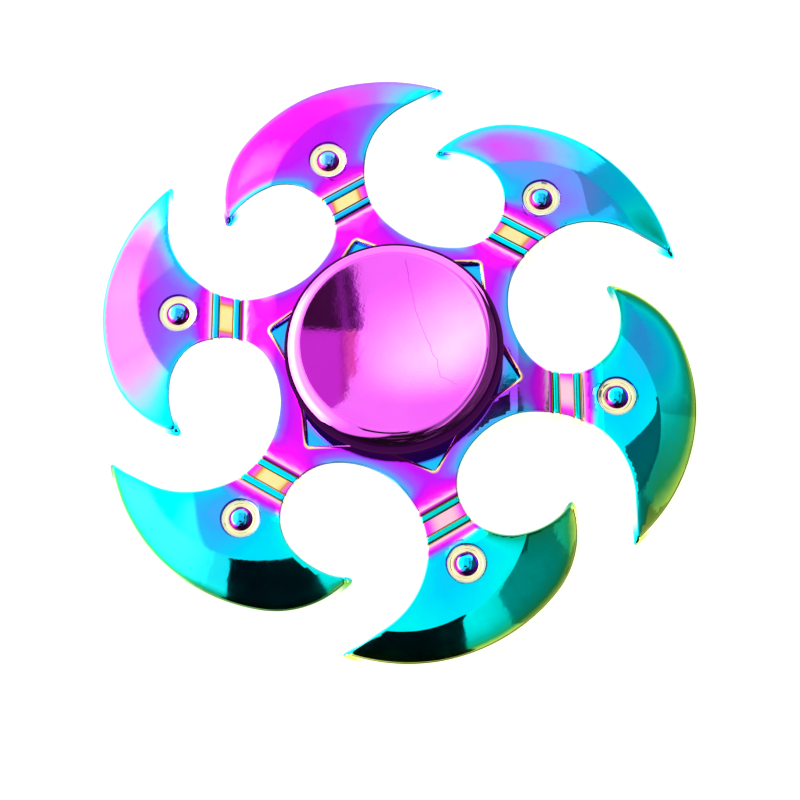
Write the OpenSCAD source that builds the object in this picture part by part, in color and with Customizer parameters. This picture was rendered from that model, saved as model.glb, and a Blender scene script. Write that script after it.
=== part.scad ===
// Six-bladed metal fidget spinner.
// One cast frame turns on a 608-size ball bearing between two dished finger caps.
// The origin is on the spin axis, at the middle of the bearing.
// +Z is the spin axis and blade 1 points along +Y. Blades count clockwise from above.
// Both faces of the spinner are alike. All sizes are in millimetres.

/* [Frame] */
// Thickness of the flat cheeks of the blades
cheek_thick = 5.2; // [5:0.1:5.6]
// Thickness of the hub plate
hub_thick = 6; // [5.8:0.1:6.4]
// Height of the boss around the bearing, over both faces
boss_thick = 6.6; // [6.5:0.1:6.9]
// Depth of the star recess in each face of the hub
star_depth = 1; // [0.6:0.1:1.3]
// Distance from the spin axis to the points of the star
star_tip_r = 15.9; // [15.4:0.1:16.4]
// Distance from the spin axis to the inner corners of the star
star_inner_r = 11.95; // [11.8:0.05:12.1]
// Diameter of the raised boss that holds the bearing
boss_d = 24.4; // [24.2:0.1:24.8]

/* [Blades] */
// Radius of the long outer sweep of a blade
sweep_r = 23.15; // [23:0.05:23.3]
// Radius of the tighter outer curve towards the short tip
shoulder_r = 12.4; // [12.2:0.05:12.6]
// Radius of the bay between two arms
bay_r = 10.57; // [10.5:0.01:10.7]
// Radius of the bay's tighter corner beside the next arm's neck
heel_r = 6.08; // [6:0.01:6.2]
// Radius of the inner edge under the short tip
under_r = 9.75; // [9.6:0.05:9.9]
// How much of the long tip's point is blunted away
long_blunt = 0.55; // [0.4:0.05:0.8]
// Radius of the crease between a cheek and its outer bevel
crease_r = 15.65; // [15.4:0.05:15.9]
// Slope of the outer bevel, in degrees
bevel_slope = 15; // [12:1:17]

/* [Necks] */
// Width of each half-round rib
rib_w = 0.84; // [0.7:0.02:0.9]
// Distance between the two ribs of a neck
rib_gap = 2.6; // [2.4:0.1:2.8]
// Angle of the ribs to the neck, in degrees
rib_tilt = 12; // [8:1:15]
// Thickness of the panel between the ribs
panel_thick = 4.1; // [3.9:0.1:4.4]

/* [Eyes] */
// Distance from the spin axis to the eye of a blade
eye_r = 27.94; // [27.5:0.02:28.4]
// Diameter of the countersunk ring around the eye
eye_ring_d = 4.8; // [4.4:0.1:5.2]
// Diameter of the eye pin
eye_pin_d = 2.64; // [2.4:0.02:2.8]
// Height of a pin's domed head over the cheek
eye_proud = 0.45; // [0.3:0.05:0.6]

/* [Bearing] */
// Bore of the inner ring
bearing_bore = 8; // [8:0.5:8]
// Outer diameter of the outer ring
bearing_od = 22; // [22:1:22]
// Width of both rings
bearing_w = 7; // [7:1:7]
// Diameter of a ball
ball_d = 3.969; // [3.9:0.001:4]
// Diameter of the circle that the ball centres lie on
pitch_d = 15; // [15:0.1:15]
// Running clearance between a ball and each raceway
race_gap = 0.02; // [0.01:0.01:0.05]

/* [Caps] */
// Diameter of the finger caps
cap_d = 27; // [26:0.5:28]
// Thickness of a cap at its edge
cap_thick = 3.35; // [3:0.05:3.6]
// Gap between the hub plate and a cap
cap_gap = 1.3; // [1.2:0.1:1.6]
// Diameter of the dish in a cap
dish_d = 22.7; // [22:0.1:23.5]
// Depth of the dish in a cap
dish_depth = 1.3; // [0.8:0.1:1.6]
// Radius of the rounded outer edge of a cap
cap_round = 2; // [1.5:0.1:2.4]
// Diameter of the threaded stud that joins the caps
stud_d = 5; // [4:0.5:5.5]

/* [Hidden] */
$fn = 96;

// Colours of the plated parts and of the bearing
plated_blue = [0.20, 0.55, 0.95];
plated_pink = [0.95, 0.25, 0.90];
plated_teal = [0.05, 0.65, 0.70];
bearing_steel = [0.75, 0.76, 0.78];
cage_steel = [0.62, 0.60, 0.56];

// A cut reaches this far past the face that it opens
past = 1;
// Longer than any part of one arm
far = 40;

blades = 6;
arm_step = 360 / blades;
cheek_half = cheek_thick / 2;
hub_half = hub_thick / 2;

// A point at distance r and angle a from the origin
function polar(r, a) = [r * cos(a), r * sin(a)];

// Arcs that run into each other overlap by this much, so that they cross cleanly
ease = 0.02;

// Outer edge of the blade on +Y: the sweep, then the shoulder inside it, tangent to it
sweep_c = [3.2, 15.4];
shoulder_a = 123.4;
sweep_span = 170;
shoulder_c = sweep_c + polar(sweep_r - shoulder_r, shoulder_a);

// The bay between this arm and the next one clockwise: the bay circle, then the heel
// circle inside it, then the circle under the next blade's short tip, each tangent
bay_c = [14.4, 21.6];
heel_a = 256.9;
heel_c = bay_c + polar(bay_r - heel_r, heel_a);
under_a = 26.7;
under_end = 100;
under_c = heel_c - polar(under_r - heel_r, under_a);

// Long tip, and the point where the straight edge from it meets the bay circle
long_tip_a = 50.9;
long_tip = sweep_c + polar(sweep_r, long_tip_a);
tip_off = long_tip - bay_c;
beak_a = atan2(tip_off[1], tip_off[0]) + acos(bay_r / norm(tip_off));
beak_p = bay_c + polar(bay_r - ease, beak_a);
// The bay's slice starts this many degrees before that point, inside the straight edge
bay_lead = 4;
beak_end = long_tip - long_blunt * (long_tip - beak_p) / norm(long_tip - beak_p);
long_cut_a = 78.5;

// Two points in line with the blunt end of the short tip
short_cut = [[-11.95, 23.35], [-18.25, 26.35]];

// The hub plate reaches this far before the bays cut it to shape
hub_zone_r = 18;
inside_r = hub_zone_r - past;
// The area of one arm: its corners lie in the open bays, except at the blunt tips
arm_area = [
    [0, 0],
    polar(hub_zone_r + past, 121),
    short_cut[0],
    short_cut[1],
    [-18, far],
    beak_end + polar(far / 3, long_cut_a),
    beak_end,
    beak_p,
    bay_c + polar(bay_r / 2, beak_a),
    polar(inside_r, 59)
];
// The area around one arm outside the hub, through the middle of the open bays
arm_surround = [
    [-7, 13.5],
    [-8, 15.5],
    [-13, 20],
    [-17.7, 27.9],
    [-19, far + past],
    [24, far + past],
    [24, 31.5],
    [15.7, 29.3],
    [11.5, 22],
    [8, 15.5],
    [7, 13.5]
];

// Crease of the blade, around which the outer bevel is a cone
crease_c = [5, 18.6];

// Height under which nothing is cut from a face of an arm
cut_floor = 0.65;

// Middle of the neck, and the steps of its section along the arm
neck_mid = [0.6, 21.83];
panel_half = panel_thick / 2;
rib_off = rib_gap / 2;
rib_drop = 0.3;
groove_half = 1.7;
groove_outer = 0.55;
groove_inner = 0.5;
foot_land = 0.35;
groove_off = rib_off + groove_outer;
groove_in = rib_off - groove_inner;
foot_off = groove_off + foot_land;
foot_half = 1.98;
slope_end = 2.2;
hub_slope_end = 4;
hub_slope = (hub_half - foot_half) / hub_slope_end;

// Eye: floor of the countersink, and the ball that shapes the head of the pin
eye_depth = 0.42;
eye_flare = 0.35;
eye_floor = cheek_half - eye_depth;
eye_floor_r = eye_ring_d / 2 - eye_flare;
eye_pin_r = eye_pin_d / 2;
head_h = cheek_half + eye_proud - eye_floor;
head_r = (eye_pin_r * eye_pin_r + head_h * head_h) / (2 * head_h);

// Bearing sections
balls = 7;
ball_step = 360 / balls;
ball_r = ball_d / 2;
pitch_r = pitch_d / 2;
half_w = bearing_w / 2;
groove_ratio = 0.52;
groove_r = groove_ratio * ball_d;
inner_land_r = 6.05;
outer_land_r = 8.95;
seat_r = 9.6;
seat_z = 2.75;
race_chamfer = 0.3;
shield_t = 0.25;
shield_hole_r = 6.3;
ring_wire_r = 0.2;
ring_room = 0.05;
ring_split = 30;
cage_in_r = 6.4;
cage_out_r = 8.6;
cage_t = 0.3;
pocket_gap = 0.08;
pocket_r = ball_r + pocket_gap;
rivet_r = 0.4;
rivet_head_r = 0.65;
rivet_head_h = 0.2;

// Caps: heights above the middle of the bearing
cap_low = hub_half + cap_gap;
cap_top = cap_low + cap_thick;
cap_r = cap_d / 2;
dish_r = dish_d / 2;
dish_ball_r = (dish_r * dish_r + dish_depth * dish_depth) / (2 * dish_depth);
cap_shoulder_r = 5.6;
cap_chamfer = 0.4;
stem_r = bearing_bore / 2;
stem_end = -half_w + 0.3;
stud_r = stud_d / 2;
stud_end = 2.4;
stud_room = 0.5;

// A copy of the children on both faces of the spinner
module both_faces() {
    children();
    mirror([0, 0, 1])
        children();
}

// A copy of the children at every blade
module every_blade() {
    for (i = [0 : blades - 1])
        rotate(-i * arm_step)
            children();
}

// A disc of radius r about the point c, in the plane of the frame
module disc(c, r) {
    translate(c)
        circle(r);
}

// The corner at c, from angle a0 round to angle a1, under 180 degrees
module corner(c, a0, a1) {
    polygon([c, c + polar(far, a0), c + polar(far * sqrt(2), (a0 + a1) / 2), c + polar(far, a1)]);
}

// The part of a disc between angles a0 and a1
module slice(c, r, a0, a1) {
    intersection() {
        disc(c, r);
        corner(c, a0, a1);
    }
}

// The finger bay between the arm on +Y and the next one clockwise
module bay() {
    slice(bay_c, bay_r, beak_a - bay_lead, heel_a);
    disc(heel_c, heel_r + ease);
    slice(under_c, under_r, under_a, under_end);
}

// Everything inside the outer edge of the blade on +Y
module blade_reach() {
    intersection() {
        union() {
            disc(shoulder_c, shoulder_r + ease);
            slice(sweep_c, sweep_r, shoulder_a - sweep_span, shoulder_a);
        }
        polygon(arm_area);
    }
}

// Outline of the whole frame
module frame_plan() {
    difference() {
        union() {
            circle(hub_zone_r);
            every_blade()
                blade_reach();
        }
        every_blade()
            bay();
    }
}

// Upper half of the neck's section, from the hub to the blade: [along the arm, height]
neck_steps = [
    [-far, hub_half + past],
    [-foot_off - hub_slope_end - past / hub_slope, hub_half + past],
    [-foot_off, foot_half],
    [-groove_off, groove_half],
    [-groove_in, groove_half],
    [-groove_in, panel_half],
    [groove_in, panel_half],
    [groove_in, groove_half],
    [groove_off, groove_half],
    [foot_off, foot_half],
    [foot_off + slope_end, cheek_half],
    [far, cheek_half]
];

// Everything under the surface of hub, neck and cheek on the upper face, ribs included
module neck_form() {
    translate(neck_mid)
        rotate(rib_tilt) {
            rotate([90, 0, 90])
                linear_extrude(2 * far, center = true)
                    polygon(concat([[far, 0], [-far, 0]], neck_steps));
            for (side = [-1, 1])
                translate([0, side * rib_off, panel_half - rib_drop])
                    rotate([0, 90, 0])
                        cylinder(h = far, r = rib_w / 2, center = true);
        }
}

// Everything under the outer bevel of the blade on the upper face
module bevel_form() {
    form_h = hub_half + past;
    translate(crease_c)
        cylinder(
            h = form_h,
            r1 = crease_r + cheek_half / tan(bevel_slope),
            r2 = crease_r - (form_h - cheek_half) / tan(bevel_slope)
        );
}

// What is cut from the upper face of the arm on +Y to shape its neck and blade
module arm_cut() {
    difference() {
        translate([0, 0, cut_floor])
            linear_extrude(hub_half)
                polygon(arm_surround);
        intersection() {
            neck_form();
            bevel_form();
        }
    }
}

// Star recess in the upper face, open above the hub plate
module star_recess() {
    translate([0, 0, hub_half - star_depth])
        linear_extrude(star_depth + past)
            polygon([
                for (i = [0 : 2 * blades - 1])
                    polar(i % 2 == 0 ? star_tip_r : star_inner_r, 90 + i * arm_step / 2)
            ]);
}

// Countersunk ring around an eye, in the upper face
module eye_ring() {
    translate([0, eye_r, eye_floor]) {
        cylinder(h = cheek_half - eye_floor, r1 = eye_floor_r, r2 = eye_ring_d / 2);
        translate([0, 0, cheek_half - eye_floor])
            cylinder(h = past, r = eye_ring_d / 2);
    }
}

// Cast frame: hub, necks and blades in one piece
module frame() {
    color(plated_blue)
        difference() {
            union() {
                difference() {
                    linear_extrude(hub_thick, center = true)
                        frame_plan();
                    every_blade()
                        both_faces()
                            arm_cut();
                    both_faces()
                        star_recess();
                }
                cylinder(h = boss_thick, r = boss_d / 2, center = true);
            }
            cylinder(h = boss_thick + 2 * past, r = bearing_od / 2, center = true);
            every_blade() {
                both_faces()
                    eye_ring();
                translate([0, eye_r, 0])
                    cylinder(h = cheek_thick + 2 * past, r = eye_pin_r, center = true);
            }
        }
}

// Eye pin of blade k, with a domed head at both ends
module eye_rivet(k) {
    color(plated_teal)
        rotate(-(k - 1) * arm_step)
            translate([0, eye_r, 0]) {
                cylinder(h = 2 * eye_floor, r = eye_pin_r, center = true);
                both_faces()
                    intersection() {
                        translate([0, 0, eye_floor])
                            cylinder(h = head_h + past, r = eye_pin_r);
                        translate([0, 0, eye_floor + head_h - head_r])
                            sphere(head_r);
                    }
            }
}

// A ring of the bearing: section from r_in to r_out with broken corners
module race_blank(r_in, r_out) {
    c = race_chamfer;
    rotate_extrude()
        polygon([
            [r_in, -half_w + c], [r_in + c, -half_w], [r_out - c, -half_w],
            [r_out, -half_w + c], [r_out, half_w - c], [r_out - c, half_w],
            [r_in + c, half_w], [r_in, half_w - c]
        ]);
}

// Groove that the balls run in, about the circle of radius r
module ball_groove(r) {
    rotate_extrude()
        translate([r, 0])
            circle(groove_r);
}

module outer_race() {
    color(bearing_steel)
        difference() {
            race_blank(outer_land_r, bearing_od / 2);
            ball_groove(pitch_r + ball_r + race_gap - groove_r);
            both_faces() {
                translate([0, 0, seat_z])
                    cylinder(h = half_w, r = seat_r);
                rotate_extrude()
                    translate([seat_r, seat_z + shield_t + ring_wire_r])
                        circle(ring_wire_r + ring_room);
            }
        }
}

module inner_race() {
    color(bearing_steel)
        difference() {
            race_blank(stem_r, inner_land_r);
            ball_groove(pitch_r - ball_r - race_gap + groove_r);
        }
}

module ball(k) {
    color(bearing_steel)
        rotate((k - 1) * ball_step)
            translate([pitch_r, 0, 0])
                sphere(ball_r);
}

// One half of the ribbon cage, lying on the middle plane
module cage_half() {
    color(cage_steel)
        difference() {
            intersection() {
                union() {
                    cylinder(h = cage_t, r = cage_out_r);
                    for (i = [0 : balls - 1])
                        rotate(i * ball_step)
                            translate([pitch_r, 0, 0])
                                sphere(pocket_r + cage_t);
                }
                cylinder(h = half_w, r = cage_out_r);
            }
            translate([0, 0, -past])
                cylinder(h = half_w + 2 * past, r = cage_in_r);
            for (i = [0 : balls - 1])
                rotate(i * ball_step) {
                    translate([pitch_r, 0, 0])
                        sphere(pocket_r);
                    rotate(ball_step / 2)
                        translate([pitch_r, 0, -past])
                            cylinder(h = 2 * past, r = rivet_r);
                }
        }
}

module cage_upper() {
    cage_half();
}

module cage_lower() {
    mirror([0, 0, 1])
        cage_half();
}

// Seven headed rivets midway between the balls
module cage_rivets() {
    color(cage_steel)
        for (i = [0 : balls - 1])
            rotate((i + 0.5) * ball_step)
                translate([pitch_r, 0, 0]) {
                    cylinder(h = 2 * cage_t, r = rivet_r, center = true);
                    both_faces()
                        translate([0, 0, cage_t])
                            cylinder(h = rivet_head_h, r1 = rivet_head_r, r2 = rivet_r);
                }
}

// Pressed shield that closes the upper side of the bearing
module shield() {
    color(bearing_steel)
        translate([0, 0, seat_z])
            difference() {
                cylinder(h = shield_t, r = seat_r);
                translate([0, 0, -past])
                    cylinder(h = shield_t + 2 * past, r = shield_hole_r);
            }
}

// Split wire ring that holds the upper shield in its seat
module snap_ring() {
    color(cage_steel)
        rotate(90 + ring_split / 2)
            rotate_extrude(angle = 360 - ring_split)
                translate([seat_r, seat_z + shield_t + ring_wire_r])
                    circle(ring_wire_r);
}

module shield_upper() {
    shield();
}

module shield_lower() {
    mirror([0, 0, 1])
        shield();
}

module snap_ring_upper() {
    snap_ring();
}

module snap_ring_lower() {
    mirror([0, 0, 1])
        snap_ring();
}

// Section of a cap without its dish: rounded outside above, chamfered below
module cap_section() {
    difference() {
        polygon([
            [0, half_w], [cap_shoulder_r, half_w], [cap_shoulder_r, cap_low],
            [cap_r - cap_chamfer, cap_low], [cap_r, cap_low + cap_chamfer],
            [cap_r, cap_top], [0, cap_top]
        ]);
        difference() {
            translate([cap_r - cap_round, cap_top - cap_round])
                square(cap_round + past);
            translate([cap_r - cap_round, cap_top - cap_round])
                circle(cap_round);
        }
    }
}

// A dished cap over the upper face, without its stem
module cap_head() {
    difference() {
        rotate_extrude()
            cap_section();
        translate([0, 0, cap_top - dish_depth + dish_ball_r])
            sphere(dish_ball_r, $fn = 200);
    }
}

// Upper cap, with the stem that fills the bearing and takes the stud
module top_cap() {
    color(plated_pink)
        difference() {
            union() {
                cap_head();
                translate([0, 0, stem_end])
                    cylinder(h = half_w - stem_end, r = stem_r);
            }
            translate([0, 0, stem_end - past])
                cylinder(h = stud_end + stud_room - stem_end + past, r = stud_r);
        }
}

// Lower cap, with the stud that screws into the stem
module bottom_cap() {
    color(plated_pink) {
        mirror([0, 0, 1])
            cap_head();
        translate([0, 0, -half_w])
            cylinder(h = half_w + stud_end, r = stud_r);
    }
}

frame();
eye_rivet(1);  // eye_rivet_1
eye_rivet(2);  // eye_rivet_2
eye_rivet(3);  // eye_rivet_3
eye_rivet(4);  // eye_rivet_4
eye_rivet(5);  // eye_rivet_5
eye_rivet(6);  // eye_rivet_6
outer_race();
inner_race();
ball(1);  // ball_1
ball(2);  // ball_2
ball(3);  // ball_3
ball(4);  // ball_4
ball(5);  // ball_5
ball(6);  // ball_6
ball(7);  // ball_7
cage_upper();
cage_lower();
cage_rivets();
shield_upper();
shield_lower();
snap_ring_upper();
snap_ring_lower();
top_cap();
bottom_cap();
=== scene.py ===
"""Looks of the six-bladed fidget spinner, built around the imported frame.

Everything rides on the CAD bodies. Shapes are worked out in millimetres and made in metres.
"""

import math

import bpy
import numpy as np
from mathutils import Matrix, Vector
from mathutils.geometry import delaunay_2d_cdt
from mathutils.kdtree import KDTree


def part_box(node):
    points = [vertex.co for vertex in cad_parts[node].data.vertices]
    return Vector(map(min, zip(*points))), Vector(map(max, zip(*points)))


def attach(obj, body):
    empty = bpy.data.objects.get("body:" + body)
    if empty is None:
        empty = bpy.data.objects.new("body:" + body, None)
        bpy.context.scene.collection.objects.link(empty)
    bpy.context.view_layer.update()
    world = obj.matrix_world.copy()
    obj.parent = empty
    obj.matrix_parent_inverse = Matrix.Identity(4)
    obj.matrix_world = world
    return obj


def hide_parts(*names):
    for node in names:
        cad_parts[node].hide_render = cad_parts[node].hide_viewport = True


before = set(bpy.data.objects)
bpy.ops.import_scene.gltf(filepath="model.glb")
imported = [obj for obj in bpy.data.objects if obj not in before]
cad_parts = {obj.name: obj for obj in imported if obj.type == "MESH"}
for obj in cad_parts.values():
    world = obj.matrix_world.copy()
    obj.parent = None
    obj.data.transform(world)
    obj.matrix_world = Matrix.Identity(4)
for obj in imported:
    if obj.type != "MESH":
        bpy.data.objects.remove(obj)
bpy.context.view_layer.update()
MM = 0.001


def node_box(name):
    """Lowest and highest corner of a CAD node, in millimetres."""
    low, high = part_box(name)
    return [float(c) / MM for c in low], [float(c) / MM for c in high]


# ------------------------ sizes, in millimetres
BLADES = 6
STEP = 360 / BLADES

# From the frame
EYE_LOW, EYE_HIGH = node_box("eye_rivet_1")
EYE_R = (EYE_LOW[1] + EYE_HIGH[1]) / 2
PIN_R = (EYE_HIGH[0] - EYE_LOW[0]) / 2
EYE_TOP = EYE_HIGH[2]
BORE_R = node_box("outer_race")[1][0]
BOSS_HALF = node_box("frame")[1][2]
CAP_R, _, CAP_TOP = node_box("top_cap")[1]
FLOOR_Z = node_box("bottom_cap")[0][2]

# Outline of a blade and of the bay beside it, as in the CAD frame
SWEEP_C, SWEEP_R = np.array([3.2, 15.4]), 23.135
SHOULDER_A, SHOULDER_R = 123.4, 12.4
BAY_C, BAY_R = np.array([14.4, 21.6]), 10.57
HEEL_A, HEEL_R = 256.9, 6.08
UNDER_A, UNDER_R = 26.7, 9.75
LONG_TIP_A = 50.9
TIP_ROUND = 0.3
SHORT_ROUND = 0.5

# Heights of the faces above the middle plane
CHEEK_HALF = 2.6
HUB_HALF = 3.0
STAR_FLOOR = 2.0
FOOT_HALF = 1.98
GROOVE_HALF = 1.7
PANEL_HALF = 2.05

# Bevel, star, boss
CREASE_C, CREASE_R = np.array([5.0, 18.6]), 15.4
BEVEL_SLOPE = 15
CREASE_SOFT = 0.12
# Towards the long tip the cheek bends down a little before it meets the bevel
BEND_SLOPE, BEND_WIDTH, BEND_SOFT, BEND_FROM, BEND_TO = 7.5, 4.5, 0.5, 112, 80
STAR_TIP_R, STAR_INNER_R = 15.9, 11.95
STAR_LIP = 0.5
STAR_WALL = 0.1
STAR_ROUND = 0.3
BOSS_R = 12.2
BOSS_CHAMFER = 0.15
BORE_CHAMFER = 0.2
HAIR = 0.02
# No part of the hub's plate or of the star lies farther out than these
HUB_END_Y, STAR_END_Y = 19, 17

# Neck: steps of its section on one side of its middle line
NECK_MID, RIB_TILT = np.array([0.6, 21.83]), 12
RIB_OFF, RIB_R, RIB_TOP, RIB_POWER = 1.3, 0.42, 2.17, 7
RIB_STEPS = [0, 0.35, 0.6, 0.76, 0.88, 0.95, 1]
STEP_W = 0.05
GROOVE_OUT, GROOVE_IN = 1.85, 0.8
FOOT_OFF, FOOT_SOFT = 2.2, 0.12
BLADE_SLOPE, HUB_SLOPE, HUB_SOFT = 2.2, 4.0, 0.2

# Walls bulge from the top edge to the parting line, and the top edge is rounded
BULGE = 0.35
EDGE_ROUND = 0.25
WALL_RINGS = 4
ROUND_RINGS = 4

# Mesh spacing: over the faces, along curves, along straight lines over the neck, and as a
# share of the first, how close the face's own points may come to those of the lines
SPACING = 0.42
CURVE_SPACING = SPACING * 0.8
LINE_SPACING = 0.33
CLEARANCE = 0.55


def ease(x, a, b):
    """0 below a, 1 above b and smooth between."""
    t = np.clip((x - a) / (b - a), 0, 1)
    return t * t * (3 - 2 * t)


def mix(a, b, t):
    """a at t = 0, going over to b at t = 1."""
    return a + (b - a) * t


def on_circle(c, r, a):
    """Points on a circle, at an array of angles in degrees."""
    return np.asarray(c) + r * np.stack([np.cos(np.radians(a)), np.sin(np.radians(a))], -1)


def polar(r, a):
    """The point at this distance and angle from the origin."""
    return np.array([r * math.cos(math.radians(a)), r * math.sin(math.radians(a))])


def turned(p, a):
    """Points turned by angle a about the spin axis."""
    c, s = math.cos(math.radians(a)), math.sin(math.radians(a))
    return np.asarray(p) @ np.array([[c, s], [-s, c]])


SHOULDER_C = SWEEP_C + polar(SWEEP_R - SHOULDER_R, SHOULDER_A)
HEEL_C = BAY_C + polar(BAY_R - HEEL_R, HEEL_A)
UNDER_C = HEEL_C - polar(UNDER_R - HEEL_R, UNDER_A)
LEFT_BAY_C, LEFT_HEEL_C, LEFT_UNDER_C = (turned(c, STEP) for c in (BAY_C, HEEL_C, UNDER_C))
TIP_OFF = SWEEP_C + polar(SWEEP_R, LONG_TIP_A) - BAY_C
BEAK_A = math.degrees(math.atan2(TIP_OFF[1], TIP_OFF[0])) + math.degrees(
    math.acos(BAY_R / float(np.hypot(*TIP_OFF)))
)
BEAK_DIR = polar(1, BEAK_A - 90)
EYE_C = np.array([0, EYE_R])

# The star: a tip, the inner corner beside it, the way between them and its outward normal
STAR_TIP, STAR_INNER = polar(STAR_TIP_R, 90), polar(STAR_INNER_R, 90 - STEP / 2)
STAR_ALONG = (STAR_TIP - STAR_INNER) / np.hypot(*(STAR_TIP - STAR_INNER))
STAR_OUT = np.array([STAR_ALONG[1], -STAR_ALONG[0]])


# ------------------------ outline of one arm
def angle_of(p, c):
    """Angle of p as seen from c, in degrees."""
    return math.degrees(math.atan2(p[1] - c[1], p[0] - c[0]))


def below(a, top):
    """Angle a, less whole turns, within one turn below top."""
    return top - (top - a) % 360


def ray_on_circle(c, r, ray_a):
    """Angle, on a circle, of its nearest point to the origin along a ray."""
    u = polar(1, ray_a)
    along = float(u @ c)
    t = along - math.sqrt(along * along - float(c @ c) + r * r)
    return angle_of(t * u, c)


def circles_meet(c0, r0, c1, r1, side):
    """The meeting point of two circles on one side of the line from c0 to c1."""
    d = c1 - c0
    n = float(np.hypot(*d))
    a = (n * n + r0 * r0 - r1 * r1) / (2 * n)
    h = math.sqrt(r0 * r0 - a * a)
    u = d / n
    return c0 + a * u + side * h * np.array([-u[1], u[0]])


def long_corner(d):
    """Where the beak's edge meets the sweep, both moved inwards by d."""
    p = BAY_C + polar(BAY_R + d, BEAK_A)
    w = p - SWEEP_C
    b = float(w @ BEAK_DIR)
    r = SWEEP_R - d
    t = -b + math.sqrt(b * b - float(w @ w) + r * r)
    return p + t * BEAK_DIR


def short_corner(d):
    """Where the shoulder meets the curve under the short tip, both moved inwards by d."""
    return circles_meet(SHOULDER_C, SHOULDER_R - d, LEFT_UNDER_C, UNDER_R + d, -1)


def segments(d):
    """The arm's outline moved inwards by d: functions of t from 0 to 1, hub to hub."""
    long_c = long_corner(d + TIP_ROUND)
    short_c = short_corner(d + SHORT_ROUND)
    bay_r, heel_r, under_r = BAY_R + d, HEEL_R + d, UNDER_R + d
    start = below(ray_on_circle(BAY_C, bay_r, 90 - STEP / 2), 360)
    beak_from = BAY_C + polar(bay_r, BEAK_A)
    beak_to = long_c - TIP_ROUND * polar(1, BEAK_A)
    a_line = BEAK_A - 180
    a_sweep = angle_of(long_c, SWEEP_C)
    a_short = angle_of(short_c, SHOULDER_C) % 360
    a_under = angle_of(short_c, LEFT_UNDER_C) % 360
    end = ray_on_circle(LEFT_BAY_C, bay_r, 90 + STEP / 2) % 360

    def arc(c, r, a0, a1):
        return lambda t: on_circle(c, r, a0 + (a1 - a0) * t)

    def line(p, q):
        return lambda t: p + (q - p) * t[:, None]

    under_end = below(UNDER_A + STEP, a_under)
    heel_top = UNDER_A + STEP + 360
    return [
        arc(BAY_C, bay_r, start, BEAK_A),
        line(beak_from, beak_to),
        arc(long_c, TIP_ROUND, a_line, a_sweep),
        arc(SWEEP_C, SWEEP_R - d, a_sweep, SHOULDER_A),
        arc(SHOULDER_C, SHOULDER_R - d, SHOULDER_A, a_short),
        arc(short_c, SHORT_ROUND, a_short, a_under + 180),
        arc(LEFT_UNDER_C, under_r, a_under, under_end),
        arc(LEFT_HEEL_C, heel_r, heel_top, HEEL_A + STEP),
        arc(LEFT_BAY_C, bay_r, HEEL_A + STEP, end),
    ]


def neck_v(p):
    """Distance along the neck from its middle, outwards."""
    a = math.radians(RIB_TILT)
    q = p - NECK_MID
    return -math.sin(a) * q[..., 0] + math.cos(a) * q[..., 1]


def crease_rho(p):
    """Distance from the centre of the crease between cheek and bevel."""
    return np.hypot(p[..., 0] - CREASE_C[0], p[..., 1] - CREASE_C[1])


def crease_phi(p):
    """Angle about the centre of the crease, in degrees."""
    return np.degrees(np.arctan2(p[..., 1] - CREASE_C[1], p[..., 0] - CREASE_C[0]))


TOP_INSET = BULGE + EDGE_ROUND
RIB_LINES = sorted({RIB_OFF + side * RIB_R * u for u in RIB_STEPS for side in (-1, 1)})
STEP_LINES = [at + side * STEP_W / 2 for at in (GROOVE_IN, GROOVE_OUT) for side in (-1, 1)]
HALF_LINES = [*STEP_LINES, *RIB_LINES, FOOT_OFF - FOOT_SOFT, FOOT_OFF + FOOT_SOFT]
NECK_LINES = sorted([-v for v in HALF_LINES] + HALF_LINES + [0.0, FOOT_OFF + BLADE_SLOPE])
CREASE_LINES = [CREASE_R - CREASE_SOFT, CREASE_R, CREASE_R + CREASE_SOFT]


# Parts of the outline, by number: crossed by the neck's lines, crossed by the outer ones only,
# and the rounded tips
NECK_PARTS, UNDER_PART, TIP_PARTS = (0, 7, 8), 6, (2, 5)


def spread(n):
    """n even steps from 0 to 1, both included."""
    return np.linspace(0, 1, n)


def stations():
    """The values of t at which every ring of the outline has a point, for each segment."""
    out = []
    for i, seg in enumerate(segments(TOP_INSET)):
        fine_t = spread(4001)
        p = seg(fine_t)
        length = float(np.hypot(*np.diff(p, axis=0).T).sum())
        marks = []
        above = p[:, 1] > NECK_MID[1]
        tests = [np.where(above, crease_rho(p) - r, 1) for r in CREASE_LINES]
        if i in NECK_PARTS:
            tests += [neck_v(p) - v for v in NECK_LINES]
        if i == UNDER_PART:
            tests += [neck_v(p) - v for v in NECK_LINES if v > 0]
        for f in tests:
            for j in np.nonzero(f[:-1] * f[1:] < 0)[0]:
                marks.append(float(fine_t[j] + fine_t[1] * f[j] / (f[j] - f[j + 1])))
        base = spread(9 if i in TIP_PARTS else max(2, round(length / (SPACING * 0.9))) + 1)
        keep = [t for t in base if t in (0, 1) or all(abs(t - m) * length > 0.1 for m in marks)]
        ts = sorted(set(keep + [m for m in marks if 0.02 < m * length < length - 0.02]))
        gaps = np.diff(ts) * length
        out.append(np.array(ts))
        assert gaps.min() > 0, "two stations are the same"
    return out


STATIONS = stations()
# Number of the last station of each part of the outline
PART_ENDS = np.cumsum([len(ts) - 1 for ts in STATIONS])


def ring(d):
    """Points of the arm's outline moved inwards by d, from the 60 to the 120 degree ray."""
    parts = [seg(ts)[:-1] for seg, ts in zip(segments(d), STATIONS)]
    last = segments(d)[-1](np.array([1.0]))
    return np.concatenate(parts + [last])


# ------------------------ height of the upper face
def smooth_floor(x, w):
    """x where it is positive and 0 where it is negative, with a soft bend of half-width w."""
    return np.where(x > w, x, np.where(x < -w, 0, (x + w) ** 2 / (4 * w)))


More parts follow.
